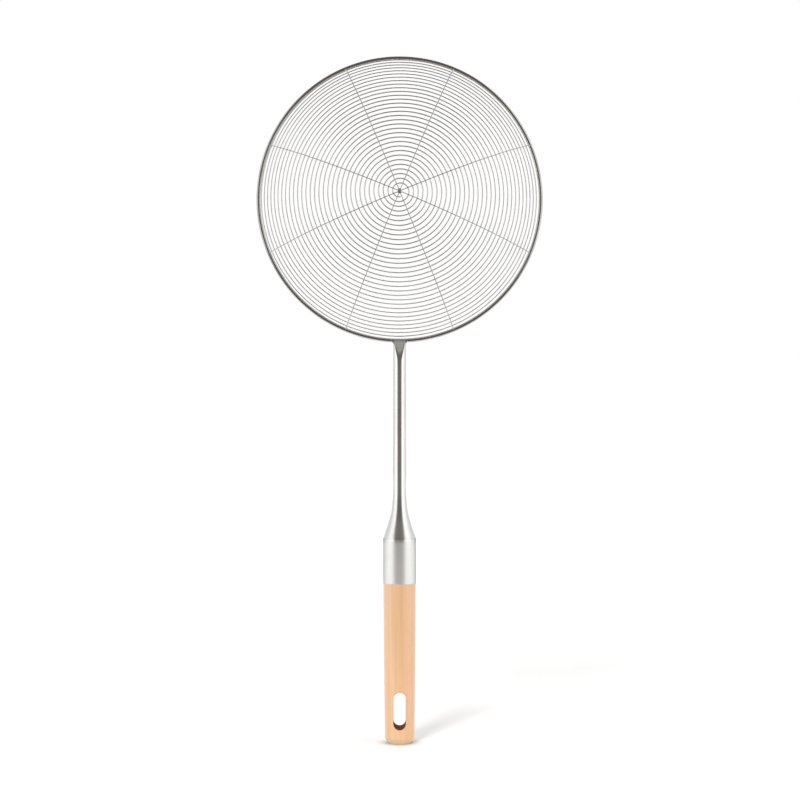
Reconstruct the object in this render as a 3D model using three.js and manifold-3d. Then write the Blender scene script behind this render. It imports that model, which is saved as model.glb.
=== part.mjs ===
// A wire skimmer: a shallow basket of one spiral wire and eight spokes in a round rim,
// a polished stem that flares into a ferrule, and a wooden grip with a hanging slot.
// Millimetres. +Z runs up the grip to the basket and the basket bulges towards -Y.
// The origin is the centre of the flat end of the grip.

import * as THREE from 'three';
import { mergeVertices } from 'three/addons/utils/BufferGeometryUtils.js';
import Module from 'manifold-3d';

const wasm = await Module();
wasm.setup();

// Grip
const gripLength = 100; // end face to ferrule
const gripEndDiameter = 18.6;
const gripBellyDiameter = 20.2; // the swell that the side bows out to, half way along
const gripChamferWidth = 2.1;
const gripChamferHeight = 3.2;
const tenonLength = 20;
const tenonChamfer = 1;
const slotWidth = 7.7;
const slotLength = 23.3;
const slotFromEnd = 9.3;
const slotToTangBore = 14; // solid wood between the slot and the bore

// Ferrule
const ferruleDiameter = 20.5;
const ferruleLength = 28.5;
const ferruleWall = 1;

// Stem
const stemDiameter = 8;
const stemWall = 1;
const stemLength = 90.5; // top of the flare to the rim
const flareLength = 32.5;
const flareNeckPull = 0.55; // share of the flare's length that keeps close to the stem
const flareSkirtPull = 0.32; // share of it that keeps the skirt's slope
const flareSkirtSlope = 17; // degrees off the axis, where the flare meets the ferrule
const spigotLength = 5; // below the skirt, inside the ferrule
const chiselLength = 15; // rim to where the press runs out of the round tube
const chiselThickness = 2.6; // at the rim
const chiselBend = 3.4; // below the rim, where the press turns to run along the stem
const chiselBendThickness = 7.3;
const chiselRunout = 0.1; // beyond the tube's radius, at the end of the press

// Tang
const tangInStem = 25;
const tangChamfer = 0.8;

// Rim
const rimDiameter = 180; // outside
const rimRodDiameter = 2.5;

// Basket
const basketDepth = 31; // rim plane to the spiral's hub
const basketFullness = 1.125; // radius of the basket's elliptical section over that of its last turn
const spiralWireDiameter = 0.8;
const spiralTurns = 31.75;
const spiralInnerRadius = 3.4;
const spiralInnerAngle = 280; // degrees, seen from -Y, where the wire starts
const spiralSeatAngle = 55; // degrees round the rim rod from its inmost line, where the last turn lies
const spokeCount = 8;
const spokeWireDiameter = 0.5;
const hubBeadDiameter = 3.4;
const hubBeadCrown = 0.25;

// Clearances
const weldGap = 0.2;
const seamGap = 0.25;
const slidingFit = 0.25; // on the radius

// Facets
const roundSides = 40;
const rimSteps = 72;
const rimSides = 8;
const wireSides = 6;
const wireSag = 0.42; // most that a straight step of the spiral may leave its curve
const spokeSteps = 14;
const curveSteps = 9;

// Levels up the axis
const slotTop = slotFromEnd + slotLength;
const tangBottom = slotTop + slotToTangBore + seamGap;
const ferruleBottom = gripLength + seamGap;
const ferruleTop = gripLength + ferruleLength;
const flareBottom = ferruleTop + seamGap;
const flareTop = ferruleTop + flareLength;
const tangTop = flareTop + tangInStem;
const rimBottom = flareTop + stemLength;
const rimCentre = rimBottom + rimDiameter / 2;

// Radii
const ferruleRadius = ferruleDiameter / 2;
const ferruleBore = ferruleRadius - ferruleWall;
const insideFerrule = ferruleBore - slidingFit;
const stemRadius = stemDiameter / 2;
const stemBore = stemRadius - stemWall;
const tangRadius = stemBore - slidingFit;
const tangBore = tangRadius + slidingFit;
const rimRodRadius = rimRodDiameter / 2;
const rimRadius = rimDiameter / 2 - rimRodRadius;
const spiralWireRadius = spiralWireDiameter / 2;
const spokeWireRadius = spokeWireDiameter / 2;

const polishedSteel = { color: 0xc9c8c4, roughness: 0.15, metalness: 1 };
const satinSteel = { color: 0xbdbbb6, roughness: 0.38, metalness: 1 };
const beech = { color: 0xe8bd90, roughness: 0.5, metalness: 0 };

const skimmer = new THREE.Group();

function addPart(name, geometry, look) {
  const mesh = new THREE.Mesh(geometry, new THREE.MeshStandardMaterial(look));
  mesh.name = name;
  skimmer.add(mesh);
  return mesh;
}

// Solids

function toSolid(geometry) {
  const bare = geometry.clone();
  bare.deleteAttribute('normal');
  bare.deleteAttribute('uv');
  const merged = mergeVertices(bare, 1e-4);
  const corners = merged.index.array;
  const kept = [];
  for (let i = 0; i < corners.length; i += 3) {
    const [a, b, c] = corners.slice(i, i + 3);
    if (a !== b && b !== c && c !== a) kept.push(a, b, c);
  }
  return new wasm.Manifold(new wasm.Mesh({
    numProp: 3,
    vertProperties: new Float32Array(merged.attributes.position.array),
    triVerts: new Uint32Array(kept),
  }));
}

function toGeometry(solid) {
  const mesh = solid.getMesh();
  const geometry = new THREE.BufferGeometry();
  geometry.setAttribute('position', new THREE.BufferAttribute(mesh.vertProperties, 3));
  geometry.setIndex(new THREE.BufferAttribute(mesh.triVerts, 1));
  geometry.computeVertexNormals();
  return geometry;
}

// Turns a profile of [radius, height] pairs about the Z axis.
function revolve(profile) {
  const points = profile.map(([radius, height]) => new THREE.Vector2(radius, height));
  return new THREE.LatheGeometry(points, roundSides).rotateX(Math.PI / 2);
}

// Extrudes an outline drawn in X and Z to both sides of the XZ plane.
function extrudeAcross(outline, width) {
  const options = { depth: width, bevelEnabled: false, curveSegments: curveSteps };
  const geometry = new THREE.ExtrudeGeometry(outline, options);
  return geometry.rotateX(Math.PI / 2).translate(0, width / 2, 0);
}

function pairsOf(curve) {
  return curve.getPoints(curveSteps).map((point) => [point.x, point.y]);
}

// Grip: a turned body with a tenon, bored for the tang and slotted for hanging.

function gripSolid() {
  const flatRadius = gripEndDiameter / 2 - gripChamferWidth;
  const tenonTop = gripLength + tenonLength;
  const side = new THREE.QuadraticBezierCurve(
    new THREE.Vector2(gripEndDiameter / 2, gripChamferHeight),
    new THREE.Vector2(gripBellyDiameter / 2, (gripChamferHeight + gripLength) / 2),
    new THREE.Vector2(ferruleRadius, gripLength),
  );
  const body = revolve([
    [0, 0],
    [flatRadius, 0],
    ...pairsOf(side),
    [insideFerrule, gripLength],
    [insideFerrule, tenonTop - tenonChamfer],
    [insideFerrule - tenonChamfer, tenonTop],
    [tangBore, tenonTop],
    [tangBore, tangBottom - seamGap],
    [0, tangBottom - seamGap],
  ]);
  const slotRadius = slotWidth / 2;
  const outline = new THREE.Shape();
  outline.absarc(0, slotFromEnd + slotRadius, slotRadius, Math.PI, 2 * Math.PI);
  outline.absarc(0, slotTop - slotRadius, slotRadius, 0, Math.PI);
  const slot = extrudeAcross(outline, 2 * ferruleDiameter);
  return toSolid(body).subtract(toSolid(slot));
}

// Ferrule: a plain collar that the tenon enters from below and the stem's spigot from above.

function ferruleGeometry() {
  return revolve([
    [ferruleBore, ferruleBottom],
    [ferruleRadius, ferruleBottom],
    [ferruleRadius, ferruleTop],
    [ferruleBore, ferruleTop],
    [ferruleBore, ferruleBottom],
  ]);
}

// Stem: a tube with a chisel end saddled on the rim rod, and a trumpet flare with a spigot.

function flareCurve(inset) {
  const neck = stemRadius - inset;
  const skirt = ferruleRadius - inset;
  const pull = flareSkirtPull * flareLength;
  const slope = THREE.MathUtils.degToRad(flareSkirtSlope);
  return new THREE.CubicBezierCurve(
    new THREE.Vector2(skirt, flareBottom),
    new THREE.Vector2(skirt - pull * Math.sin(slope), flareBottom + pull * Math.cos(slope)),
    new THREE.Vector2(neck, flareTop - flareNeckPull * flareLength),
    new THREE.Vector2(neck, flareTop),
  );
}

function chiselCutter(side) {
  const press = new THREE.QuadraticBezierCurve(
    new THREE.Vector2(chiselThickness / 2, rimBottom),
    new THREE.Vector2(chiselBendThickness / 2, rimBottom - chiselBend),
    new THREE.Vector2(stemRadius + chiselRunout, rimBottom - chiselLength),
  );
  const end = rimBottom + rimRodRadius;
  const outside = stemDiameter;
  const outline = new THREE.Shape();
  outline.moveTo(side * chiselThickness / 2, end);
  pairsOf(press).forEach(([depth, height]) => outline.lineTo(side * depth, height));
  outline.lineTo(side * outside, rimBottom - chiselLength);
  outline.lineTo(side * outside, end);
  outline.closePath();
  return extrudeAcross(outline, 2 * stemDiameter).rotateZ(Math.PI / 2);
}

function stemSolid() {
  const boreTop = rimBottom - chiselLength - stemWall;
  const spigotBottom = flareBottom - spigotLength;
  const spigotBore = insideFerrule - stemWall;
  const tube = revolve([
    [0, boreTop],
    [stemBore, boreTop],
    ...pairsOf(flareCurve(stemWall)).reverse().slice(0, -1),
    [spigotBore, flareBottom],
    [spigotBore, spigotBottom],
    [insideFerrule, spigotBottom],
    [insideFerrule, flareBottom],
    ...pairsOf(flareCurve(0)),
    [stemRadius, rimBottom + rimRodRadius],
    [0, rimBottom + rimRodRadius],
  ]);
  const saddle = rimGeometry(rimRodRadius + weldGap).translate(0, 0, rimCentre);
  return toSolid(tube)
    .subtract(toSolid(chiselCutter(1)))
    .subtract(toSolid(chiselCutter(-1)))
    .subtract(toSolid(saddle));
}

// Tang: a rod from the stem's bore, through the ferrule, into the grip.

function tangGeometry() {
  return revolve([
    [0, tangBottom],
    [tangRadius - tangChamfer, tangBottom],
    [tangRadius, tangBottom + tangChamfer],
    [tangRadius, tangTop - tangChamfer],
    [tangRadius - tangChamfer, tangTop],
    [0, tangTop],
  ]);
}

// Rim: a ring of round rod in the XZ plane.

function rimGeometry(rodRadius) {
  return new THREE.TorusGeometry(rimRadius, rodRadius, rimSides, rimSteps).rotateX(Math.PI / 2);
}

// Basket: wires on an ellipsoid about the rim's axis. The section of that ellipsoid is worked in
// radius from the axis and height above the rim plane, towards -Y.

const seatAngle = THREE.MathUtils.degToRad(spiralSeatAngle);
const seatReach = rimRodRadius + weldGap + spiralWireRadius;
const lastTurnRadius = rimRadius - seatReach * Math.cos(seatAngle);
const lastTurnHeight = seatReach * Math.sin(seatAngle);
const sectionRadius = lastTurnRadius * basketFullness;
const sectionDrop = 1 - Math.sqrt(1 - 1 / basketFullness ** 2);
const sectionHeight = (basketDepth - lastTurnHeight) / sectionDrop;
const sectionCentre = basketDepth - sectionHeight;

function sectionAngle(radius) {
  return Math.acos(radius / sectionRadius);
}

function sectionPoint(angle) {
  const point = new THREE.Vector2(sectionRadius * Math.cos(angle), sectionHeight * Math.sin(angle));
  point.y += sectionCentre;
  return point;
}

// The way out of the basket, square to its section, at a point of the section.
function sectionNormal(point) {
  const across = point.x / sectionRadius ** 2;
  const up = (point.y - sectionCentre) / sectionHeight ** 2;
  return new THREE.Vector2(across, up).normalize();
}

// Swings a point of the section round the basket's axis. The angle is the one seen from -Y.
function swing(point, angle) {
  return new THREE.Vector3(point.x * Math.cos(angle), -point.y, point.x * Math.sin(angle));
}

// A round wire through centres, with one corner of each ring turned to that centre's normal.
function wireGeometry(centres, normals, radius) {
  const positions = [];
  const corners = [];
  const last = centres.length - 1;
  centres.forEach((centre, i) => {
    const before = centres[Math.max(i - 1, 0)];
    const after = centres[Math.min(i + 1, last)];
    const along = after.clone().sub(before).normalize();
    const across = along.clone().cross(normals[i]).normalize();
    const out = across.clone().cross(along);
    for (let side = 0; side < wireSides; side += 1) {
      const angle = 2 * Math.PI * side / wireSides;
      const corner = centre.clone();
      corner.addScaledVector(out, radius * Math.cos(angle));
      corner.addScaledVector(across, radius * Math.sin(angle));
      positions.push(...corner.toArray());
    }
  });
  const at = (ring, side) => ring * wireSides + side % wireSides;
  for (let ring = 0; ring < last; ring += 1) {
    for (let side = 0; side < wireSides; side += 1) {
      corners.push(at(ring, side), at(ring, side + 1), at(ring + 1, side + 1));
      corners.push(at(ring, side), at(ring + 1, side + 1), at(ring + 1, side));
    }
  }
  for (let side = 1; side < wireSides - 1; side += 1) {
    corners.push(at(0, 0), at(0, side + 1), at(0, side));
    corners.push(at(last, 0), at(last, side), at(last, side + 1));
  }
  const geometry = new THREE.BufferGeometry();
  geometry.setAttribute('position', new THREE.Float32BufferAttribute(positions, 3));
  geometry.setIndex(corners);
  geometry.computeVertexNormals();
  return geometry;
}

// Spiral: evenly spaced along the section, winding out clockwise as seen from -Y.

function spiralTurnsAlong() {
  const section = new THREE.EllipseCurve(
    0, sectionCentre, sectionRadius, sectionHeight,
    sectionAngle(spiralInnerRadius), sectionAngle(lastTurnRadius), true,
  );
  const start = THREE.MathUtils.degToRad(spiralInnerAngle);
  const route = { centres: [], normals: [], turns: [] };
  let turn = 0;
  while (turn <= spiralTurns) {
    const point = section.getPointAt(turn / spiralTurns);
    const angle = start - 2 * Math.PI * turn;
    route.centres.push(swing(point, angle));
    route.normals.push(swing(sectionNormal(point), angle));
    route.turns.push(turn);
    if (turn === spiralTurns) break;
    const step = Math.acos(1 - wireSag / point.x) / Math.PI;
    turn = Math.min(turn + step, spiralTurns);
  }
  return route;
}

function leastGap({ centres, turns }) {
  let least = Infinity;
  for (let i = 0; i < centres.length; i += 1) {
    for (let j = i + 1; j < centres.length; j += 1) {
      if (turns[j] - turns[i] > 0.5) least = Math.min(least, centres[i].distanceTo(centres[j]));
    }
  }
  return least - spiralWireDiameter;
}

// Spokes: radial wires over the outside of the spiral, from the hub bead to the rim rod.

const spokeOffset = spiralWireRadius + weldGap + spokeWireRadius;

function spokePoint(angle) {
  const point = sectionPoint(angle);
  return point.addScaledVector(sectionNormal(point), spokeOffset);
}

function spokeEndAngle() {
  const rodCentre = new THREE.Vector2(rimRadius, 0);
  const reach = rimRodRadius + weldGap + spokeWireRadius;
  let clear = Math.PI / 2;
  let touching = sectionAngle(rimRadius);
  while (clear - touching > 1e-6) {
    const middle = (clear + touching) / 2;
    if (spokePoint(middle).distanceTo(rodCentre) > reach) clear = middle;
    else touching = middle;
  }
  return clear;
}

function spokeGeometry(bearing) {
  const inner = sectionAngle(hubBeadDiameter / 2 + weldGap);
  const outer = spokeEndAngle();
  const centres = [];
  const normals = [];
  for (let step = 0; step <= spokeSteps; step += 1) {
    const angle = THREE.MathUtils.lerp(inner, outer, step / spokeSteps);
    centres.push(swing(spokePoint(angle), bearing));
    normals.push(swing(sectionNormal(sectionPoint(angle)), bearing));
  }
  return wireGeometry(centres, normals, spokeWireRadius);
}

// Hub bead: a low crowned button between the inner ends of the spokes.

function hubBeadGeometry() {
  const radius = hubBeadDiameter / 2;
  const crowned = spokeWireRadius + hubBeadCrown;
  const profile = [[0, -crowned], [radius, -spokeWireRadius], [radius, spokeWireRadius], [0, crowned]];
  const points = profile.map(([x, y]) => new THREE.Vector2(x, y));
  return new THREE.LatheGeometry(points, roundSides / 2).translate(0, -basketDepth - spokeOffset, 0);
}

// Assembly

addPart('grip', toGeometry(gripSolid()), beech);
addPart('tang_rod', tangGeometry(), satinSteel);
addPart('ferrule', ferruleGeometry(), satinSteel);
addPart('stem', toGeometry(stemSolid()), polishedSteel);

const basketParts = [addPart('rim_hoop', rimGeometry(rimRodRadius), polishedSteel)];
const spiral = spiralTurnsAlong();
console.log(`spiral_wire: least gap to itself ${leastGap(spiral).toFixed(2)} mm`);
const spiralWire = wireGeometry(spiral.centres, spiral.normals, spiralWireRadius);
basketParts.push(addPart('spiral_wire', spiralWire, polishedSteel));
for (let i = 0; i < spokeCount; i += 1) {
  const bearing = 2 * Math.PI * (i + 0.5) / spokeCount;
  basketParts.push(addPart(`spoke_${i + 1}`, spokeGeometry(bearing), polishedSteel));
}
basketParts.push(addPart('hub_bead', hubBeadGeometry(), polishedSteel));

const basket = new THREE.Group();
basket.position.set(0, 0, rimCentre);
basket.add(...basketParts);
skimmer.add(basket);

export default skimmer;
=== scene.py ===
from math import acos, cos, exp, log, pi, radians, sin, sqrt, tau

import bpy
from mathutils import Matrix, Vector


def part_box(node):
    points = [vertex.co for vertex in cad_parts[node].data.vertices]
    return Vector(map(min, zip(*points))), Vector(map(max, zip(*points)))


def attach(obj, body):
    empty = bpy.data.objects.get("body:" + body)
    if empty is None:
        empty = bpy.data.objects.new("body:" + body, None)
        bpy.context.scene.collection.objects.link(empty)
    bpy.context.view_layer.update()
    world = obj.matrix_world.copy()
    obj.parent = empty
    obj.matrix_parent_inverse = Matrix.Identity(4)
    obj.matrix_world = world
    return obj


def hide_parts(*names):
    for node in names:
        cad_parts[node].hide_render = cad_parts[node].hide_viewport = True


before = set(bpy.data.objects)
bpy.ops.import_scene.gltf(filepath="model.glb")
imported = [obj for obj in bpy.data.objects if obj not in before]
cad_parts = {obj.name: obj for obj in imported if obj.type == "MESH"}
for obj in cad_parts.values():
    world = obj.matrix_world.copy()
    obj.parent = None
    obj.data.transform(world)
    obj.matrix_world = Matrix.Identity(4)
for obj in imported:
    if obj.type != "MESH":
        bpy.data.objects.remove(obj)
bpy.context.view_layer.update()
mm = 0.001


# camera, level and square on to the basket as in the photograph

view = {
    "distance": 0.960,
    "height": 0.1836,
    "lens": 68.7,
    "shiftUp": 0.0632,
    "shiftRight": 0.0005,
    "clipEnd": 60,
}


def placeCamera():
    spot = (0, -view["distance"], view["height"])
    bpy.ops.object.camera_add(location=spot, rotation=(pi / 2, 0, 0))
    camera = bpy.context.object
    camera.name = "photoCamera"
    camera.data.lens = view["lens"]
    camera.data.shift_x = view["shiftRight"]
    camera.data.shift_y = view["shiftUp"]
    camera.data.clip_end = view["clipEnd"]
    bpy.context.scene.camera = camera


placeCamera()
print("camera placed")


# shader maths: a wrapped socket, so that masks read as sums

class Shade:
    def __init__(self, tree, socket=None):
        self.tree = tree
        self.socket = socket

    def node(self, kind, settings=None, inputs=None, out=0):
        made = self.tree.nodes.new(kind)
        for name, value in (settings or {}).items():
            if name == "stops":
                for place, _ in value[1:-1]:
                    made.color_ramp.elements.new(place)
                for stop, (place, colour) in zip(made.color_ramp.elements, value):
                    stop.position = place
                    stop.color = (*colour, 1)
            else:
                setattr(made, name, value)
        for name, value in (inputs or {}).items():
            if isinstance(value, Shade):
                self.tree.links.new(value.socket, made.inputs[name])
            else:
                made.inputs[name].default_value = value
        return Shade(self.tree, None if out is None else made.outputs[out])

    def calc(self, operation, first, second=0.0):
        return self.node("ShaderNodeMath", {"operation": operation}, {0: first, 1: second})

    def __add__(self, other):
        return self.calc("ADD", self, other)

    def __radd__(self, other):
        return self.calc("ADD", other, self)

    def __sub__(self, other):
        return self.calc("SUBTRACT", self, other)

    def __rsub__(self, other):
        return self.calc("SUBTRACT", other, self)

    def __mul__(self, other):
        return self.calc("MULTIPLY", self, other)

    def __rmul__(self, other):
        return self.calc("MULTIPLY", other, self)

    def __truediv__(self, other):
        return self.calc("DIVIDE", self, other)

    def step(self, low, high):
        inputs = {"Value": self, "From Min": low, "From Max": high}
        return self.node("ShaderNodeMapRange", {"interpolation_type": "SMOOTHSTEP"}, inputs)


def startFinish(name):
    material = bpy.data.materials.new(name)
    material.use_nodes = True
    shader = material.node_tree.nodes["Principled BSDF"]
    return material, shader, Shade(material.node_tree)


def feed(shader, tree, **sockets):
    for name, value in sockets.items():
        socket = shader.inputs[name.replace("_", " ")]
        if isinstance(value, Shade):
            tree.links.new(value.socket, socket)
        else:
            socket.default_value = value


def objectAxis(shade, axis):
    place = shade.node("ShaderNodeTexCoord", out="Object")
    return shade.node("ShaderNodeSeparateXYZ", inputs={"Vector": place}, out=axis)


def stretchedNoise(shade, scale, detail=3.0, roughness=0.55):
    place = shade.node("ShaderNodeTexCoord", out="Object")
    mapped = shade.node("ShaderNodeMapping", inputs={"Vector": place, "Scale": scale})
    settings = {"Vector": mapped, "Scale": 1.0, "Detail": detail, "Roughness": roughness}
    return shade.node("ShaderNodeTexNoise", inputs=settings)


def mixColour(shade, factor, first, second):
    inputs = {"Factor": factor, 6: first, 7: second}      # the node's two colour sockets
    return shade.node("ShaderNodeMix", {"data_type": "RGBA"}, inputs, out=2)


def bumped(shade, height, strength, distance=0.1 * mm):
    inputs = {"Height": height, "Strength": strength, "Distance": distance}
    return shade.node("ShaderNodeBump", inputs=inputs)


# finishes

polish = {
    "colour": (0.78, 0.77, 0.755, 1),
    "dull": (0.72, 0.71, 0.695, 1),
    "roughness": 0.16,
    "smudgeRoughness": 0.07,
    "lineRoughness": 0.05,
    "pressedRoughness": 0.50,
    "pressedDepth": (0.15 * mm, 0.9 * mm),
    "bump": 0.04,
    "bumpDistance": 0.2 * mm,
}


# polished tube; its pressed end, where it is thinner than round, is duller
def polishedSteel(tubeRadius):
    material, shader, shade = startFinish("polishedSteel")
    lines = stretchedNoise(shade, (2600, 2600, 60))      # faint lines left by the polishing belt
    smudge = stretchedNoise(shade, (70, 70, 40), detail=5)
    across = objectAxis(shade, "X")
    depth = shade.calc("ABSOLUTE", objectAxis(shade, "Y"))
    tube = shade.calc("SQRT", shade.calc("MAXIMUM", tubeRadius ** 2 - across * across, 0.0))
    pressed = (tube - depth).step(*polish["pressedDepth"])
    rough = polish["roughness"] + polish["smudgeRoughness"] * smudge.step(0.45, 0.75)
    rough = rough + polish["lineRoughness"] * lines + polish["pressedRoughness"] * pressed
    bump = bumped(shade, lines, polish["bump"], polish["bumpDistance"])
    colour = mixColour(shade, smudge.step(0.4, 0.8), polish["colour"], polish["dull"])
    feed(shader, material.node_tree, Base_Color=colour, Roughness=rough, Normal=bump, Metallic=1.0)
    return material


rodFinish = {
    "colour": (0.52, 0.51, 0.50, 1),
    "dull": (0.42, 0.41, 0.40, 1),
    "dullShare": (0.4, 0.8),
    "roughness": 0.15,
    "patches": 90,
    "patchDetail": 5,
    "lines": 1800,
    "bump": 0.06,
}
wireFinish = {
    "colour": (0.84, 0.83, 0.815, 1),
    "dull": (0.73, 0.72, 0.705, 1),
    "dullShare": (0.45, 0.85),
    "roughness": 0.30,
    "patches": 160,
    "patchDetail": 4,
    "lines": 2400,
    "bump": 0.08,
}
spokeFinish = {
    **wireFinish,
    "colour": (0.50, 0.49, 0.48, 1),
    "dull": (0.40, 0.39, 0.38, 1),
    "roughness": 0.32,
}


# drawn rod or wire, not buffed as bright as the stem
def drawnSteel(name, finish):
    material, shader, shade = startFinish(name)
    tarnish = stretchedNoise(shade, (finish["patches"],) * 3, detail=finish["patchDetail"])
    lines = stretchedNoise(shade, (finish["lines"],) * 3, detail=2)
    rough = finish["roughness"] + 0.1 * tarnish.step(0.4, 0.75) + 0.06 * lines
    bump = bumped(shade, lines, finish["bump"])
    colour = mixColour(shade, tarnish.step(*finish["dullShare"]), finish["colour"], finish["dull"])
    feed(shader, material.node_tree, Base_Color=colour, Roughness=rough, Normal=bump, Metallic=1.0)
    return material


satin = {
    "colour": (0.89, 0.88, 0.86, 1),
    "dull": (0.81, 0.80, 0.78, 1),
    "edge": (0.10, 0.10, 0.10, 1),
    "roughness": 0.42,
    "stretch": 0.6,
    "stretchTurn": 0.25,
    "metal": 0.78,
    "polishRuns": 4.0 * mm,
    "polishPast": 1.6 * mm,
    "bump": 0.05,
}


# brushed collar; the polish of the flare runs out over its top
def satinSteel(top):
    material, shader, shade = startFinish("satinSteel")
    buffed = objectAxis(shade, "Z").step(top - satin["polishRuns"], top + satin["polishPast"])
    brushed = stretchedNoise(shade, (90, 90, 5200), detail=4)      # turned lines round the collar
    cloud = stretchedNoise(shade, (60, 60, 90), detail=4)
    rough = (satin["roughness"] + 0.08 * brushed - 0.04 * cloud) * (1 - buffed)
    rough = rough + polish["roughness"] * buffed
    metal = satin["metal"] + (1 - satin["metal"]) * buffed
    bump = bumped(shade, brushed, satin["bump"])
    dull = 0.5 * brushed.step(0.3, 0.8) + 0.3 * cloud
    colour = mixColour(shade, dull, satin["colour"], satin["dull"])
    colour = mixColour(shade, buffed, colour, polish["colour"])
    tree = material.node_tree
    feed(shader, tree, Base_Color=colour, Roughness=rough, Normal=bump, Metallic=metal)
    feed(shader, tree, Anisotropic=satin["stretch"], Anisotropic_Rotation=satin["stretchTurn"])
    feed(shader, tree, Specular_Tint=satin["edge"])
    return material


wood = {
    "pale": (0.89, 0.558, 0.322, 1),
    "warm": (0.84, 0.488, 0.26, 1),
    # bevel: a painted highlight, the chamfer made lighter for the light it catches from the table
    "bevel": (0.99, 0.70, 0.44, 1),
    "bevelHighlightShare": 0.85,
    "bevelHighlightTop": (2.9 * mm, 3.4 * mm),
    "fleck": (0.66, 0.36, 0.17, 1),
    "fleckShare": 0.25,
    # slot walls: dark brown that is mostly painted shade of the deep slot, partly darker end grain
    "slotShadeDark": (0.22, 0.068, 0.022, 1),
    "slotShadeWarm": (0.32, 0.125, 0.045, 1),
    "roughness": 0.36,
    "slotWallRoughness": 0.75,
    "slotWallShine": 0.1,
    "coat": 0.8,
    "coatRoughness": 0.18,
    "bump": 0.1,
    "slotWallBump": 0.3,
    "bumpDistance": 0.2 * mm,
}


def beech():
    material, shader, shade = startFinish("beech")
    fine = stretchedNoise(shade, (1500, 1500, 30), detail=4)       # fibres along the grip
    bands = stretchedNoise(shade, (330, 120, 9), detail=2)         # slow growth bands
    rays = stretchedNoise(shade, (1150, 1150, 190), detail=1)      # short dark rays, as in beech
    grain = 0.55 * bands + 0.45 * fine
    colour = mixColour(shade, grain.step(0.34, 0.66), wood["pale"], wood["warm"])
    flecks = rays.step(0.66, 0.74)
    colour = mixColour(shade, wood["fleckShare"] * flecks, colour, wood["fleck"])
    # painted highlight: the chamfer at the end is mixed towards the lighter bevel colour
    above = objectAxis(shade, "Z").step(*wood["bevelHighlightTop"])
    bevelled = wood["bevelHighlightShare"] - wood["bevelHighlightShare"] * above
    colour = mixColour(shade, bevelled, colour, wood["bevel"])
    rough = wood["roughness"] + 0.1 * fine
    bump = bumped(shade, fine - 0.6 * flecks, wood["bump"], wood["bumpDistance"])
    feed(shader, material.node_tree, Base_Color=colour, Roughness=rough, Normal=bump)
    feed(shader, material.node_tree, Coat_Weight=wood["coat"], Coat_Roughness=wood["coatRoughness"])
    return material


# the walls of the slot, left bare: their dark brown is mostly painted shade of the deep slot,
# partly the darker end grain
def slotShadeWood():
    material, shader, shade = startFinish("slotShadeWood")
    fibre = stretchedNoise(shade, (900, 90, 160), detail=4)
    colour = mixColour(shade, fibre.step(0.3, 0.7), wood["slotShadeDark"], wood["slotShadeWarm"])
    rough = wood["slotWallRoughness"] + 0.2 * fibre
    bump = bumped(shade, fibre, wood["slotWallBump"], wood["bumpDistance"])
    feed(shader, material.node_tree, Base_Color=colour, Roughness=rough, Normal=bump)
    feed(shader, material.node_tree, Specular_IOR_Level=wood["slotWallShine"])
    return material


# modelling helpers

mergeReach = 1e-6
nearZero = 1e-7
smoothAngle = radians(35)


def deselectAll():
    if bpy.context.mode != "OBJECT":
        bpy.ops.object.mode_set(mode="OBJECT")
    bpy.ops.object.select_all(action="DESELECT")


def closeEdit():
    bpy.ops.mesh.select_all(action="SELECT")
    bpy.ops.mesh.remove_doubles(threshold=mergeReach)
    bpy.ops.mesh.normals_make_consistent(inside=False)
    bpy.ops.object.mode_set(mode="OBJECT")


def extrudeBy(move):
    bpy.ops.mesh.extrude_region_move(TRANSFORM_OT_translate={"value": move})


# one vertex, drawn out along the points
def drawLine(points):
    deselectAll()
    bpy.ops.mesh.primitive_plane_add(size=0.01)
    bpy.ops.object.mode_set(mode="EDIT")
    bpy.ops.mesh.merge(type="CENTER")
    bpy.ops.transform.translate(value=points[0])
    for here, there in zip(points, points[1:]):
        extrudeBy(Vector(there) - Vector(here))
    return bpy.context.object


# a line spun about an axis
def spinLine(points, steps, centre=(0, 0, 0), axis=(0, 0, 1)):
    piece = drawLine(points)
    bpy.ops.mesh.select_all(action="SELECT")
    bpy.ops.mesh.spin(steps=steps, angle=tau, center=centre, axis=axis)
    closeEdit()
    return piece


# a profile of radius and height, spun about the grip's axis
def spinPiece(profile, steps):
    return spinLine([(radius, 0, height) for radius, height in profile], steps)


# a round wire through points
def wirePiece(points, radius, sides):
    deselectAll()
    line = bpy.data.curves.new("wireLine", "CURVE")
    line.dimensions = "3D"
    run = line.splines.new("POLY")
    run.points.add(len(points) - 1)
    for spot, point in zip(run.points, points):
        spot.co = (*point, 1)
    line.bevel_depth = radius
    line.bevel_resolution = (sides - 4) // 2
    line.use_fill_caps = True
    piece = bpy.data.objects.new("wire", line)
    bpy.context.collection.objects.link(piece)
    piece.select_set(True)
    bpy.context.view_layer.objects.active = piece
    bpy.ops.object.convert(target="MESH")
    piece = bpy.context.object
    bpy.ops.object.mode_set(mode="EDIT")
    closeEdit()
    return piece


def finishPiece(piece, name, materials, slot, *nodes):
    piece.name = name
    piece.data.name = name
    piece.data.materials.clear()
    for material in materials:
        piece.data.materials.append(material)
    deselectAll()
    piece.select_set(True)
    bpy.context.view_layer.objects.active = piece
    bpy.ops.object.transform_apply(location=True, rotation=True, scale=True)
    bpy.ops.object.shade_smooth_by_angle(angle=smoothAngle)
    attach(piece, "root")
    if nodes:
        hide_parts(*nodes)


# a Bezier curve through two ends, pulled by the points between
def curve2d(points, count):
    line = []
    for i in range(count + 1):
        spots = [Vector(p) for p in points]
        while len(spots) > 1:
            spots = [a.lerp(b, i / count) for a, b in zip(spots, spots[1:])]
        line.append(tuple(spots[0]))
    return line


def roundCorner(before, corner, after, size, count=4):
    corner = Vector(corner)
    start = corner + (Vector(before) - corner).normalized() * size
    end = corner + (Vector(after) - corner).normalized() * size
    return curve2d([start, corner, end], count)


# sizes that the pieces share, read from the solids

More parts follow.
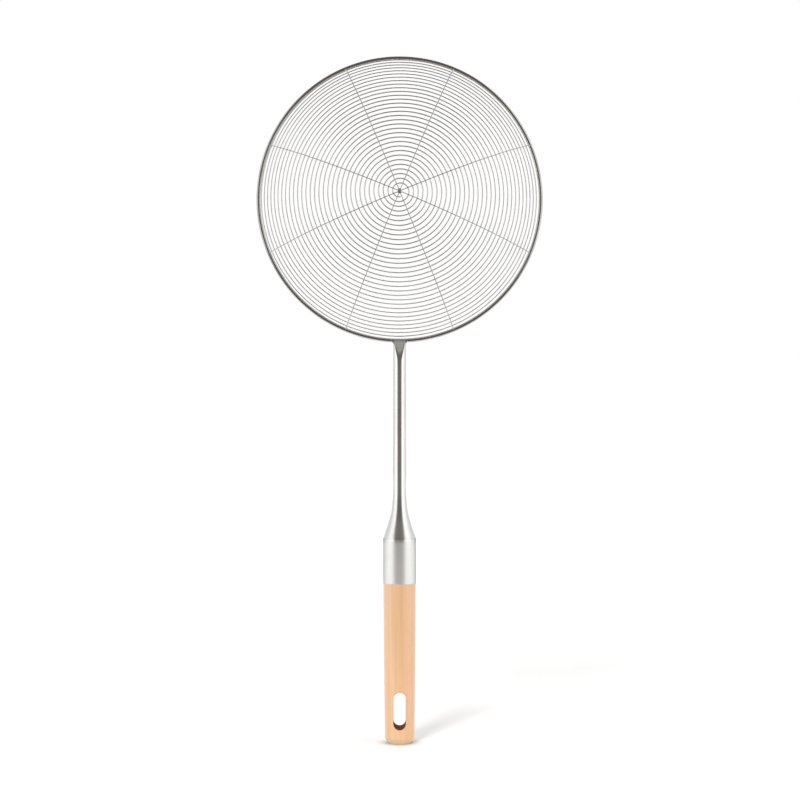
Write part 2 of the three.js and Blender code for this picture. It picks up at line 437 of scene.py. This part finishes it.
rimLow, rimHigh = (Vector(corner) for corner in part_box("rim_hoop"))
rimCentre = (rimLow + rimHigh) / 2
rodRadius = (rimHigh.y - rimLow.y) / 2
rimRadius = (rimHigh.x - rimLow.x) / 2 - rodRadius
rimBottom = rimLow.z
ferruleLow, ferruleHigh = (Vector(corner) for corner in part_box("ferrule"))
collarRadius = (ferruleHigh.x - ferruleLow.x) / 2
hairline = 0.02 * mm      # open seam above and below the collar

# grip: turned wood with a bevelled end and a hanging slot

grip = {
    "endDiameter": 18.6 * mm,
    "bellyDiameter": 20.2 * mm,
    "chamferWidth": 2.1 * mm,
    "chamferHeight": 3.2 * mm,
    "chamferRound": 0.3 * mm,
    "shoulderRound": 0.3 * mm,
    "tenonStep": 1.4 * mm,
    "tenonDepth": 6 * mm,
    "sides": 128,
    "rings": 90,
    "slotWidth": 7.7 * mm,
    "slotLength": 23.3 * mm,
    "slotFromEnd": 9.3 * mm,
    "slotRound": 0.5 * mm,
    "slotTaper": 0.45 * mm,      # how much slimmer than the belly the grip is at the slot
}
slot = {
    "radius": grip["slotWidth"] / 2,
    "straight": grip["slotLength"] - grip["slotWidth"],
    "middle": grip["slotFromEnd"] + grip["slotLength"] / 2,
    "sides": 72,
    "roundSteps": 5,
    "mouthSpread": 1.6,
    "cutterClear": 2 * mm,
    "slotShadeReach": 0.03 * mm,
}


# rings of the slot's cutter, as outward step and depth under the wood's surface
def slotRings():
    size, steps = grip["slotRound"], slot["roundSteps"]
    mouth = [(size * slot["mouthSpread"], -size)]
    for i in range(steps + 1):
        turn = pi / 2 * i / steps
        mouth.append((size * (1 - sin(turn)), size * (1 - cos(turn))))
    return mouth


def cutSlot(body, woodRadius):
    deselectAll()
    radius, straight = slot["radius"], slot["straight"]
    disc = {"vertices": slot["sides"], "radius": radius, "fill_type": "NGON"}
    bpy.ops.mesh.primitive_circle_add(**disc, rotation=(pi / 2, 0, 0))
    cutter = bpy.context.object
    bpy.ops.object.transform_apply(rotation=True)
    bpy.ops.object.mode_set(mode="EDIT")
    bpy.ops.mesh.select_all(action="SELECT")
    mouth = slotRings()
    rings = [(-1, *ring) for ring in mouth] + [(1, *ring) for ring in reversed(mouth)]
    rings = [rings[0], *rings, rings[-1]]      # first and last are flat ends, clear of the wood
    for _ in rings[1:]:
        extrudeBy((0, mm, 0))
    bpy.ops.object.mode_set(mode="OBJECT")
    for corner in cutter.data.vertices:        # each ring to its depth, the upper half up the slot
        ring = round(corner.co.y / mm)
        side, step, depth = rings[ring]
        grown = (radius + step) / radius
        x, z = corner.co.x * grown, corner.co.z * grown
        z += straight / 2 if corner.co.z > nearZero else -straight / 2
        y = sqrt(woodRadius ** 2 - x * x) - depth
        if ring in (0, len(rings) - 1):
            y = woodRadius + slot["cutterClear"]
        corner.co = (x, side * y, slot["middle"] + z)
    bpy.ops.object.mode_set(mode="EDIT")
    closeEdit()
    cut = body.modifiers.new("slotCut", "BOOLEAN")
    cut.object = cutter
    cut.solver = "EXACT"
    deselectAll()
    bpy.context.view_layer.objects.active = body
    bpy.ops.object.modifier_apply(modifier=cut.name)
    bpy.data.objects.remove(cutter)


# the slot's bare walls take the second material, the one painted dark with the slot's shade
def paintSlotShade(body):
    reach = slot["radius"] + slot["slotShadeReach"]
    for face in body.data.polygons:
        beyond = max(abs(face.center.z - slot["middle"]) - slot["straight"] / 2, 0)
        face.material_index = int(sqrt(face.center.x ** 2 + beyond ** 2) < reach)


def makeGrip():
    top = ferruleLow.z - hairline
    endRadius = grip["endDiameter"] / 2
    flat = (endRadius - grip["chamferWidth"], 0)
    lip = (endRadius, grip["chamferHeight"])
    belly = (grip["bellyDiameter"] / 2, (grip["chamferHeight"] + top) / 2)
    shoulder = (collarRadius, top)
    tenon = (collarRadius - grip["tenonStep"], top)
    side = curve2d([lip, belly, shoulder], grip["rings"])
    profile = [(0, 0)]
    profile += roundCorner((0, 0), flat, lip, grip["chamferRound"])
    profile += roundCorner(flat, lip, side[3], grip["chamferRound"])
    profile += side[1:-1]
    profile += roundCorner(side[-2], shoulder, tenon, grip["shoulderRound"])
    profile += [tenon, (tenon[0], top + grip["tenonDepth"]), (0, top + grip["tenonDepth"])]
    body = spinPiece(profile, grip["sides"])
    cutSlot(body, belly[0] - grip["slotTaper"])
    finishPiece(body, "gripWood", [beech(), slotShadeWood()], "beech", "grip")
    paintSlotShade(body)


makeGrip()
print("grip turned and slotted")

# ferrule: a satin collar with its edges just broken

collar = {"wall": 1.0 * mm, "edgeRound": 0.1 * mm, "sides": 128}
steelSatin = satinSteel(ferruleHigh.z)


def makeCollar():
    outer, inner = collarRadius, collarRadius - collar["wall"]
    low, high = ferruleLow.z, ferruleHigh.z
    corners = [(inner, low), (outer, low), (outer, high), (inner, high)]
    profile = []
    for i, corner in enumerate(corners):
        after = corners[(i + 1) % len(corners)]
        profile += roundCorner(corners[i - 1], corner, after, collar["edgeRound"])
    profile.append(profile[0])
    piece = spinPiece(profile, collar["sides"])
    finishPiece(piece, "collar", [steelSatin], "satin_steel", "ferrule")


makeCollar()
print("collar made")

# stem: a polished tube with a trumpet flare, pressed flat where it meets the rim

stem = {
    "diameter": 8 * mm,
    "flareLength": 32.5 * mm,
    "flareSteps": 44,
    "neckPull": 0.55,
    "skirtPull": 0.32,
    "skirtSlope": radians(17),
    "skirtRound": 0.1 * mm,
    "spigotStep": 1.3 * mm,
    "spigotDepth": 4 * mm,
    "ringStep": 4 * mm,
    "chiselLength": 15 * mm,
    "chiselThickness": 2.6 * mm,
    "chiselBend": 3.4 * mm,
    "chiselBendThickness": 7.3 * mm,
    "chiselRings": 48,
    "creaseRound": 0.1 * mm,
    "creaseSpare": 5,
    "sides": 128,
}
steelPolished = polishedSteel(stem["diameter"] / 2)


# how thick the pressed end is, by the distance below the rim
def pressedThickness(below, full):
    bend = stem["chiselBend"]
    spare = stem["chiselLength"] - 2 * bend
    share = (sqrt(bend * bend + spare * max(below, 0)) - bend) / spare
    ends = stem["chiselThickness"] * (1 - share) ** 2 + full * share ** 2
    return ends + stem["chiselBendThickness"] * 2 * share * (1 - share)


def stemProfile(chiselStart):
    radius = stem["diameter"] / 2
    low = ferruleHigh.z + hairline
    high = ferruleHigh.z + stem["flareLength"]
    top = rimBottom + rodRadius
    pull, slope = stem["skirtPull"] * stem["flareLength"], stem["skirtSlope"]
    skirt = (collarRadius, low)
    handle = (collarRadius - pull * sin(slope), low + pull * cos(slope))
    neck = (radius, high - stem["neckPull"] * stem["flareLength"])
    flare = curve2d([skirt, handle, neck, (radius, high)], stem["flareSteps"])
    spigot, foot = collarRadius - stem["spigotStep"], low - stem["spigotDepth"]
    profile = [(0, foot), (spigot, foot), (spigot, low)]
    profile += roundCorner((spigot, low), skirt, flare[1], stem["skirtRound"])
    profile += flare[1:]
    rise = high
    while rise < chiselStart - stem["ringStep"]:
        rise += stem["ringStep"]
        profile.append((radius, min(rise, chiselStart)))
    rings = stem["chiselRings"]
    for i in range(rings):
        profile.append((radius, chiselStart + (top - chiselStart) * (i + 1) / rings))
    profile.append((0, top))
    return profile


def makeStem():
    chiselStart = rimBottom - stem["chiselLength"]
    piece = spinPiece(stemProfile(chiselStart), stem["sides"])
    crease = stem["creaseRound"]
    full = stem["diameter"] + stem["creaseSpare"] * crease
    for corner in piece.data.vertices:      # presses the end flat, harder towards the rim
        if corner.co.z > chiselStart:
            limit = pressedThickness(rimBottom - corner.co.z, full) / 2
            depth = -crease * log(exp(-abs(corner.co.y) / crease) + exp(-limit / crease))
            corner.co.y = max(depth, 0) * (1 if corner.co.y > 0 else -1)
    finishPiece(piece, "stemTube", [steelPolished], "polished_steel", "stem")


makeStem()
print("stem made")

# rim: a ring of rod, and the weld that the stem runs into it with

rim = {
    "steps": 256,
    "sides": 28,
    "weldReach": 1.0 * mm,
    "weldDrop": 1.8 * mm,
    "weldSink": 0.05 * mm,
    "weldBend": 0.1 * mm,
    "weldRise": 0.5 * mm,
    "weldProud": 0.1 * mm,
    "weldSteps": 10,
    "weldRound": 0.5 * mm,
    "weldRoundSteps": 5,
    "weldRoundAngle": radians(50),
}
steelRod = drawnSteel("drawnRod", rodFinish)


def makeRim():
    section = []
    for i in range(rim["sides"] + 1):
        turn = tau * i / rim["sides"]
        spot = Vector((rimRadius + rodRadius * cos(turn), rodRadius * sin(turn), 0))
        section.append(rimCentre + spot)
    piece = spinLine(section, rim["steps"], centre=rimCentre, axis=(0, 1, 0))
    finishPiece(piece, "rimRod", [steelRod], "polished_steel", "rim_hoop")


def makeRimWeld():
    half = stem["diameter"] / 2
    rodLine = rimBottom + rodRadius
    outer = half + rim["weldReach"]
    foot = (half - rim["weldSink"], rimBottom - rim["weldDrop"])
    bend = (half, rimBottom - rim["weldBend"])
    side = curve2d([foot, bend, (outer, rimBottom + rim["weldRise"])], rim["weldSteps"])
    outline = side + [(outer, rodLine), (-outer, rodLine)] + [(-x, z) for x, z in reversed(side)]
    thick = stem["chiselThickness"] + rim["weldProud"]
    piece = drawLine([(x, -thick / 2, z) for x, z in outline])
    bpy.ops.mesh.select_all(action="SELECT")
    bpy.ops.mesh.edge_face_add()
    extrudeBy((0, thick, 0))
    closeEdit()
    bevel = piece.modifiers.new("weldRound", "BEVEL")
    bevel.width = rim["weldRound"]
    bevel.segments = rim["weldRoundSteps"]
    bevel.limit_method = "ANGLE"
    bevel.angle_limit = rim["weldRoundAngle"]
    bpy.ops.object.modifier_apply(modifier=bevel.name)
    finishPiece(piece, "rimWeld", [steelPolished], "polished_steel")


makeRim()
makeRimWeld()
print("rim made")

# basket: wires on an ellipsoid about the rim's axis, bulging to the front

basket = {
    "depth": 31 * mm,
    "fullness": 1.125,
    "seatAngle": radians(55),
    "weldGap": 0.2 * mm,
    "wireRadius": 0.40 * mm,
    "turns": 31.75,
    "innerRadius": 3.4 * mm,
    "innerAngle": radians(280),
    "stepsPerTurn": 128,
    "wireSides": 10,
    "wallSteps": 4000,
}
spoke = {
    "count": 8,
    "radius": 0.25 * mm,
    "sunk": 0.08 * mm,
    "steps": 60,
    "sides": 12,
    "hub": 1.2 * mm,
    "past": 0.35 * mm,
}
steelWire = drawnSteel("basketWire", wireFinish)
steelSpoke = drawnSteel("spokeWire", spokeFinish)

seatReach = rodRadius + basket["weldGap"] + basket["wireRadius"]
lastRadius = rimRadius - seatReach * cos(basket["seatAngle"])
lastHeight = seatReach * sin(basket["seatAngle"])
wallRadius = lastRadius * basket["fullness"]
wallHeight = (basket["depth"] - lastHeight) / (1 - sqrt(1 - 1 / basket["fullness"] ** 2))
wallMiddle = basket["depth"] - wallHeight
spokeLift = basket["wireRadius"] + spoke["radius"] - spoke["sunk"]


def wallPoint(angle, lift=0.0):
    across, up = cos(angle) / wallRadius, sin(angle) / wallHeight
    size = sqrt(across * across + up * up)
    radius = wallRadius * cos(angle) + lift * across / size
    height = wallMiddle + wallHeight * sin(angle) + lift * up / size
    return radius, height


def swing(radius, height, bearing):
    return rimCentre + Vector((radius * cos(bearing), -height, radius * sin(bearing)))


# wall angles evenly spaced along the wall, from the spiral's start to its last turn
def evenAngles(count):
    fine = basket["wallSteps"]
    start, end = acos(basket["innerRadius"] / wallRadius), acos(lastRadius / wallRadius)
    angles = [start + (end - start) * i / fine for i in range(fine + 1)]
    spots = [Vector(wallPoint(angle)) for angle in angles]
    lengths = [0.0]
    for here, there in zip(spots, spots[1:]):
        lengths.append(lengths[-1] + (there - here).length)
    even, at = [], 0
    for i in range(count + 1):
        target = lengths[-1] * i / count
        while at < fine - 1 and lengths[at + 1] < target:
            at += 1
        share = (target - lengths[at]) / (lengths[at + 1] - lengths[at])
        even.append(angles[at] + (angles[at + 1] - angles[at]) * share)
    return even


def spiralBearing(turn):
    return basket["innerAngle"] - tau * turn


def spokeBearing(i):
    return tau * (i + 0.5) / spoke["count"]


def makeSpiral():
    count = round(basket["turns"] * basket["stepsPerTurn"])
    points = []
    for i, angle in enumerate(evenAngles(count)):
        points.append(swing(*wallPoint(angle), spiralBearing(basket["turns"] * i / count)))
    piece = wirePiece(points, basket["wireRadius"], basket["wireSides"])
    finishPiece(piece, "spiralWire", [steelWire], "basket_wire", "spiral_wire")


# turns a copy with its own mesh about the basket's axis
def turnedCopy(piece, bearing):
    copy = piece.copy()
    copy.data = piece.data.copy()
    bpy.context.collection.objects.link(copy)
    turn = Matrix.Rotation(-bearing, 4, "Y")
    copy.matrix_world = Matrix.Translation(rimCentre) @ turn @ Matrix.Translation(-rimCentre)
    return copy


# one spoke, laid along +X, then a copy at each bearing
def makeSpokes():
    start = acos(spoke["hub"] / wallRadius)
    end = acos((lastRadius + spoke["past"]) / wallRadius)
    points = []
    for step in range(spoke["steps"] + 1):
        angle = start + (end - start) * step / spoke["steps"]
        points.append(swing(*wallPoint(angle, spokeLift), 0))
    pattern = wirePiece(points, spoke["radius"], spoke["sides"])
    for i in range(spoke["count"]):
        piece = turnedCopy(pattern, spokeBearing(i))
        finishPiece(piece, f"spokeWire{i + 1}", [steelSpoke], "basket_wire", f"spoke_{i + 1}")
    bpy.data.objects.remove(pattern)


makeSpiral()
makeSpokes()
print("basket wound")

# welds: a flat bead at the hub, and a small nugget where each spoke crosses a turn

weld = {
    "hubRadius": 1.7 * mm,
    "hubHeight": 0.7 * mm,
    "hubEdge": 0.35 * mm,
    "hubSteps": 10,
    "hubSides": 32,
    "length": 0.62 * mm,
    "width": 0.46 * mm,
    "height": 0.25 * mm,
    "skirtBelow": -0.1 * mm,
    "skirtLong": 1.25,
    "skirtWide": 1.15,
    "sides": 8,
    "rings": 4,
    "placesPerTurn": 360,
}


# a low button with a rounded edge, spun about the basket's axis
def makeHubBead():
    radius, edge, height = weld["hubRadius"], weld["hubEdge"], weld["hubHeight"]
    middle = wallPoint(pi / 2, spokeLift)[1]
    corners = [(0, height), (radius - edge, height), (radius, edge), (radius, 0)]
    crown = curve2d(corners, weld["hubSteps"])
    outline = crown + [(out, -up) for out, up in reversed(crown[:-1])]
    points = [rimCentre + Vector((out, -middle - up, 0)) for out, up in outline]
    bead = spinLine(points, weld["hubSides"], centre=rimCentre, axis=(0, 1, 0))
    finishPiece(bead, "hubWeld", [steelWire], "basket_wire", "hub_bead")


# one nugget: a squashed ball, drawn out to a skirt where it has run along the wires
def makeNugget():
    deselectAll()
    bpy.ops.mesh.primitive_uv_sphere_add(segments=weld["sides"], ring_count=weld["rings"], radius=1)
    nugget = bpy.context.object
    bpy.ops.object.mode_set(mode="EDIT")
    size = (weld["length"], weld["width"], weld["height"])
    bpy.ops.transform.resize(value=size, center_override=(0, 0, 0))
    bpy.ops.object.mode_set(mode="OBJECT")
    for corner in nugget.data.vertices:
        if corner.co.z < weld["skirtBelow"]:
            corner.co.x *= weld["skirtLong"]
            corner.co.y *= weld["skirtWide"]
    return nugget


def nuggetCopy(nugget, angle, bearing):
    foot = swing(*wallPoint(angle, basket["wireRadius"]), bearing)
    out = swing(*wallPoint(angle, basket["wireRadius"] + mm), bearing) - foot
    bead = nugget.copy()
    bead.data = nugget.data.copy()
    upright = out.to_track_quat("Z", "Y").to_matrix().to_4x4()
    bead.data.transform(Matrix.Translation(foot) @ upright)
    bpy.context.collection.objects.link(bead)
    return bead


def makeNuggets():
    perTurn = weld["placesPerTurn"]
    angles = evenAngles(round(basket["turns"] * perTurn))
    nugget = makeNugget()
    copies = []
    for i in range(spoke["count"]):
        turn = ((basket["innerAngle"] - spokeBearing(i)) / tau) % 1
        while turn < basket["turns"]:
            copies.append(nuggetCopy(nugget, angles[round(turn * perTurn)], spokeBearing(i)))
            turn += 1
    bpy.data.objects.remove(nugget)
    deselectAll()
    for bead in copies:
        bead.select_set(True)
    bpy.context.view_layer.objects.active = copies[0]
    bpy.ops.object.join()
    finishPiece(copies[0], "spotWelds", [steelWire], "basket_wire")
    print(len(copies), "spot welds")


makeHubBead()
makeNuggets()
print("welds made")

# the tang is inside, and keeps its solid
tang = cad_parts["tang_rod"]
tang.data.materials.clear()
tang.data.materials.append(steelSatin)

# stage: a white table, a bright studio with a dark gap behind the camera, and three soft suns

white, black = (1, 1, 1, 1), (0, 0, 0, 1)
studio = {
    "tableReach": 8.0,
    "tableFront": 0.175,
    "tableColour": (0.945, 0.945, 0.945, 1),
    "tableBounce": (0.60, 0.60, 0.60, 1),
    "contactReach": 7 * mm,
    # how dark the painted contact shadow under the grip is
    "paintedContactShadow": 0.6,
    "contactSamples": 16,
    "gapMiddle": radians(-2.5),
    "gapHalf": radians(37),
    "gapSoft": radians(10),
    "gapLevels": (                     # degrees up from the camera, and how bright it is there
        (-70, 0.06), (-12, 0.12), (-1, 0.22), (6, 0.14),
        (24, 0.14), (41, 0.24), (60, 0.09), (90, 0.04),
    ),
    "gapEnds": (radians(80), radians(106)),
    "gapTint": (1.07, 0.985, 0.89, 1),
    "boxLevel": 1.36,
    "boxEnds": (radians(64), radians(120)),
    "backLevel": 0.82,
    "ceilingLevel": 0.95,
    "ceilingStarts": (radians(40), radians(70)),
    "underShare": 0.15,
    "underStarts": (radians(3), radians(22)),
}
lamps = {      # angles in degrees
    "keySun": {"turn": -22.2, "rise": 42, "spread": 14, "strength": 1.4},
    "softSun": {"turn": -24.5, "rise": 45, "spread": 60, "strength": 0.35},
    "fillSun": {"turn": 50, "rise": 40, "spread": 60, "strength": 0.6},
}


# 1 for what the camera sees, straight, in metal or through glass
def seen(shade):
    camera = shade.node("ShaderNodeLightPath", out="Is Camera Ray")
    glossy = shade.node("ShaderNodeLightPath", out="Is Glossy Ray")
    through = shade.node("ShaderNodeLightPath", out="Is Transmission Ray")
    return shade.calc("MAXIMUM", camera, shade.calc("MAXIMUM", glossy, through))


# 1 where the table lies open, less where the grip stands close over it
def openTable(shade):
    settings = {"samples": studio["contactSamples"]}
    inputs = {"Distance": studio["contactReach"]}
    return shade.node("ShaderNodeAmbientOcclusion", settings, inputs, out="AO")


# the table looks white, but throws less light back up than it shows
def makeTable():
    deselectAll()
    bpy.ops.mesh.primitive_plane_add(size=2)
    table = bpy.context.object
    table.name = "table"
    reach, front = studio["tableReach"], studio["tableFront"]
    table.scale = (reach, (reach + front) / 2, 1)
    table.location.y = (reach - front) / 2
    bpy.ops.object.transform_apply(location=True, scale=True)
    material = bpy.data.materials.new("tableWhite")
    material.use_nodes = True
    tree = material.node_tree
    tree.nodes.clear()
    shade = Shade(tree)
    # a painted contact shadow: the table's shown colour is darkened where the grip stands close
    # over it
    paintedShadow = studio["paintedContactShadow"] * (1 - openTable(shade))
    shown = mixColour(shade, paintedShadow, studio["tableColour"], black)
    colour = mixColour(shade, seen(shade), studio["tableBounce"], shown)
    matt = shade.node("ShaderNodeBsdfDiffuse", inputs={"Color": colour})
    shade.node("ShaderNodeOutputMaterial", inputs={"Surface": matt}, out=None)
    table.data.materials.append(material)


# how bright the dark gap is, by the angle up from the camera
def gapLevel(shade, arch):
    low, high = studio["gapLevels"][0][0], studio["gapLevels"][-1][0]
    stops = []
    for angle, level in studio["gapLevels"]:
        stops.append(((angle - low) / (high - low), (level,) * 3))
    rise = (arch - radians(low)) / radians(high - low)
    return shade.node("ShaderNodeValToRGB", {"stops": stops}, {"Fac": rise})


def makeWorld():
    world = bpy.data.worlds.new("studio")
    world.use_nodes = True
    bpy.context.scene.world = world
    tree = world.node_tree
    shade = Shade(tree)
    way = shade.node("ShaderNodeTexCoord", out="Generated")
    aside = shade.node("ShaderNodeSeparateXYZ", inputs={"Vector": way}, out="X")
    ahead = 0 - shade.node("ShaderNodeSeparateXYZ", inputs={"Vector": way}, out="Y")
    upward = shade.node("ShaderNodeSeparateXYZ", inputs={"Vector": way}, out="Z")
    turned = shade.calc("ABSOLUTE", shade.calc("ARCTAN2", aside, ahead))
    behind = turned.step(*studio["boxEnds"])
    wall = studio["boxLevel"] + (studio["backLevel"] - studio["boxLevel"]) * behind
    raised = shade.calc("ARCSINE", upward)
    ceiling = raised.step(*studio["ceilingStarts"])
    wall = wall + (studio["ceilingLevel"] - wall) * ceiling
    wall = wall * (1 - (1 - studio["underShare"]) * (0 - raised).step(*studio["underStarts"]))
    arch = shade.calc("ARCTAN2", upward, ahead)      # 0 at the camera, a right angle overhead
    beside = shade.calc("ABSOLUTE", shade.calc("ARCSINE", aside) - studio["gapMiddle"])
    half, soft = studio["gapHalf"], studio["gapSoft"]
    closed = (1 - beside.step(half - soft, half + soft)) * (1 - arch.step(*studio["gapEnds"]))
    level = wall + (gapLevel(shade, arch) - wall) * closed
    camera = shade.node("ShaderNodeLightPath", out="Is Camera Ray")
    level = level + (1 - level) * camera
    tint = mixColour(shade, closed * (1 - camera), white, studio["gapTint"])
    background = tree.nodes["Background"]
    tree.links.new(tint.socket, background.inputs["Color"])
    tree.links.new(level.socket, background.inputs["Strength"])


def makeSun(name, turn, rise, spread, strength):
    turn, rise = radians(turn), radians(rise)
    towards = Vector((sin(turn) * cos(rise), -cos(turn) * cos(rise), sin(rise)))
    bpy.ops.object.light_add(type="SUN", location=2 * towards)
    sun = bpy.context.object
    sun.name = name
    sun.data.energy = strength
    sun.data.angle = radians(spread)
    sun.rotation_euler = (-towards).to_track_quat("-Z", "Y").to_euler()
    sun.visible_glossy = False      # the metal shows the studio, not the lamp


makeTable()
makeWorld()
for name, lamp in lamps.items():
    makeSun(name, **lamp)
bpy.context.scene.view_settings.view_transform = "Standard"
print("stage set")
